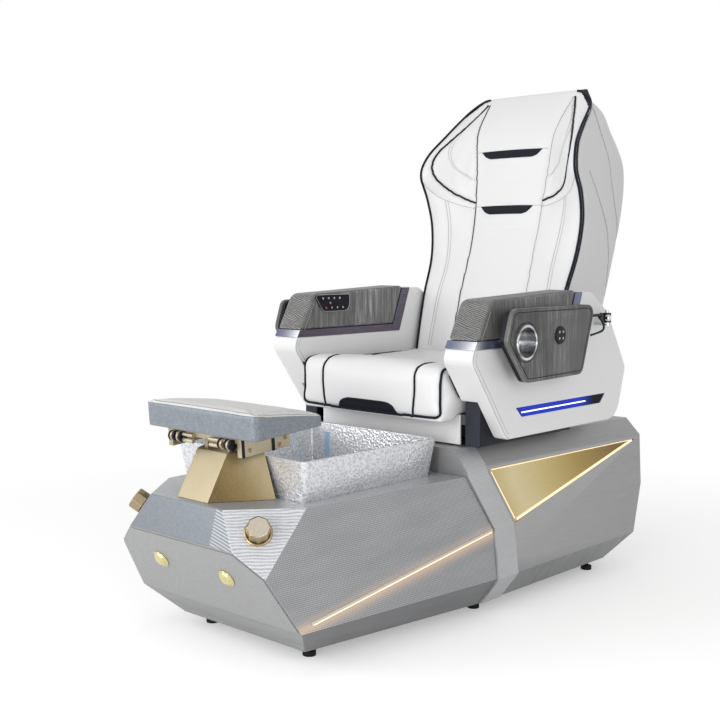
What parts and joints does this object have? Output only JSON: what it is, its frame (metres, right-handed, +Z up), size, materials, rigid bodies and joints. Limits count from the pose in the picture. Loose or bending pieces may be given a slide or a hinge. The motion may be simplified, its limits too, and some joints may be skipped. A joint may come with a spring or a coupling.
{
  "type": "pedicure chair",
  "caption": "Spa pedicure chair: sliding, reclining padded seat with folding armrest trays and key panel, on a faceted base with a foot bath and tilting footrest.",
  "frame": {"origin": "on the floor, below the middle of the bounding box", "axes": "+Z up; the sitter faces -Y; +X is the sitter's left"},
  "size_m": [0.8346, 1.4803, 1.41],
  "materials": {
    "white_leather": "smooth upholstery",
    "white_shell": "satin moulding",
    "woven_silver": "silver woven-look lacquer",
    "panel_grey": "satin",
    "champagne_gold": "champagne gold",
    "painted_steel": "powder coat",
    "black_plastic": "textured",
    "black_rubber": "matt",
    "grey_wood": "fine-grain veneer",
    "chrome": "polished",
    "satin_trim": "satin blue-grey",
    "hammered_bowl": "hammered silver",
    "warm_light": "lit diffuser",
    "blue_light": "lit diffuser",
    "pad_grey": "satin",
    "silver_button": "matt",
    "red_button": "matt"
  },
  "bodies": {
    "base": {"base_frame": "painted_steel", "front_shell": "woven_silver", "rear_shell": "woven_silver", "front_panel": "panel_grey", "bowl": "hammered_bowl", "drain": "chrome", "jet_cap": "white_shell", "pedestal": "champagne_gold", "slide_motor": "black_plastic", "foot_front_left": "black_rubber", "foot_front_right": "black_rubber", "foot_mid_left": "black_rubber", "foot_mid_right": "black_rubber", "foot_rear_left": "black_rubber", "foot_rear_right": "black_rubber", "side_light_left": "warm_light", "side_light_right": "warm_light", "recess_panel_left": "champagne_gold", "recess_panel_right": "champagne_gold", "slide_rail_left": "painted_steel", "slide_rail_right": "painted_steel"},
    "footrest": {"footrest_frame": "champagne_gold", "footrest_pad": "pad_grey"},
    "seat": {"carriage": "painted_steel", "seat_cushion": "white_leather", "seat_apron": "white_shell", "keypad": "black_plastic", "side_bracket_left": "black_plastic", "side_bracket_right": "black_plastic", "armrest_shell_left": "white_shell", "armrest_shell_right": "white_shell", "armrest_cap_left": "grey_wood", "armrest_cap_right": "grey_wood", "armrest_trim_left": "satin_trim", "armrest_trim_right": "satin_trim", "armrest_light_left": "blue_light", "armrest_light_right": "blue_light"},
    "back": {"back_frame": "painted_steel", "back_shell": "white_leather", "back_pad": "white_leather"},
    "tray_arm_left": {"tray_arm_left": "black_plastic"},
    "tray_arm_right": {"tray_arm_right": "black_plastic"},
    "tray_left": {"tray_left": "grey_wood", "tray_cup_left": "chrome", "tray_boss_left": "black_plastic"},
    "tray_right": {"tray_right": "grey_wood", "tray_cup_right": "chrome", "tray_boss_right": "black_plastic"},
    "valve_left": {"valve_knob_left": "champagne_gold"},
    "valve_right": {"valve_knob_right": "champagne_gold"},
    "button_1": {"button_1": "silver_button"},
    "button_2": {"button_2": "silver_button"},
    "button_3": {"button_3": "silver_button"},
    "button_4": {"button_4": "silver_button"},
    "button_5": {"button_5": "silver_button"},
    "button_6": {"button_6": "red_button"},
    "button_7": {"button_7": "silver_button"},
    "button_8": {"button_8": "silver_button"},
    "button_9": {"button_9": "silver_button"}
  },
  "joints": [
    {"name": "seat_slide", "type": "slide", "parent": "base", "child": "seat", "axis": [0, 1, 0], "range_m": [0, 0.12]},
    {"name": "back_recline", "type": "hinge", "parent": "seat", "child": "back", "pos_m": [0, 0.43, 0.575], "axis": [-1, 0, 0], "range_deg": [0, 40]},
    {"name": "footrest_tilt", "type": "hinge", "parent": "base", "child": "footrest", "pos_m": [0, -0.612, 0.5], "axis": [1, 0, 0], "range_deg": [-12, 13]},
    {"name": "tray_swing_left", "type": "hinge", "parent": "seat", "child": "tray_arm_left", "pos_m": [0.385, 0.438, 0.742], "axis": [0, 0, 1], "range_deg": [0, 90]},
    {"name": "tray_flip_left", "type": "hinge", "parent": "tray_arm_left", "child": "tray_left", "pos_m": [0.4005, 0.332, 0.765], "axis": [0, -1, 0], "range_deg": [0, 90]},
    {"name": "valve_turn_left", "type": "hinge", "parent": "base", "child": "valve_left", "pos_m": [0.20126, -0.6796, 0.32674], "axis": [0.6292, -0.5272, 0.5711], "range_deg": [0, 90]},
    {"name": "tray_swing_right", "type": "hinge", "parent": "seat", "child": "tray_arm_right", "pos_m": [-0.385, 0.438, 0.742], "axis": [0, 0, -1], "range_deg": [0, 90]},
    {"name": "tray_flip_right", "type": "hinge", "parent": "tray_arm_right", "child": "tray_right", "pos_m": [-0.4005, 0.332, 0.765], "axis": [0, 1, 0], "range_deg": [0, 90]},
    {"name": "valve_turn_right", "type": "hinge", "parent": "base", "child": "valve_right", "pos_m": [-0.20126, -0.6796, 0.32674], "axis": [-0.6292, -0.5272, 0.5711], "range_deg": [0, 90]},
    {"name": "press_1", "type": "slide", "parent": "seat", "child": "button_1", "axis": [-1, 0, 0], "range_m": [0, 0.001], "stiffness_N_per_m": 800},
    {"name": "press_2", "type": "slide", "parent": "seat", "child": "button_2", "axis": [-1, 0, 0], "range_m": [0, 0.001], "stiffness_N_per_m": 800},
    {"name": "press_3", "type": "slide", "parent": "seat", "child": "button_3", "axis": [-1, 0, 0], "range_m": [0, 0.001], "stiffness_N_per_m": 800},
    {"name": "press_4", "type": "slide", "parent": "seat", "child": "button_4", "axis": [-1, 0, 0], "range_m": [0, 0.001], "stiffness_N_per_m": 800},
    {"name": "press_5", "type": "slide", "parent": "seat", "child": "button_5", "axis": [-1, 0, 0], "range_m": [0, 0.001], "stiffness_N_per_m": 800},
    {"name": "press_6", "type": "slide", "parent": "seat", "child": "button_6", "axis": [-1, 0, 0], "range_m": [0, 0.001], "stiffness_N_per_m": 800},
    {"name": "press_7", "type": "slide", "parent": "seat", "child": "button_7", "axis": [-1, 0, 0], "range_m": [0, 0.001], "stiffness_N_per_m": 800},
    {"name": "press_8", "type": "slide", "parent": "seat", "child": "button_8", "axis": [-1, 0, 0], "range_m": [0, 0.001], "stiffness_N_per_m": 800},
    {"name": "press_9", "type": "slide", "parent": "seat", "child": "button_9", "axis": [-1, 0, 0], "range_m": [0, 0.001], "stiffness_N_per_m": 800}
  ]
}
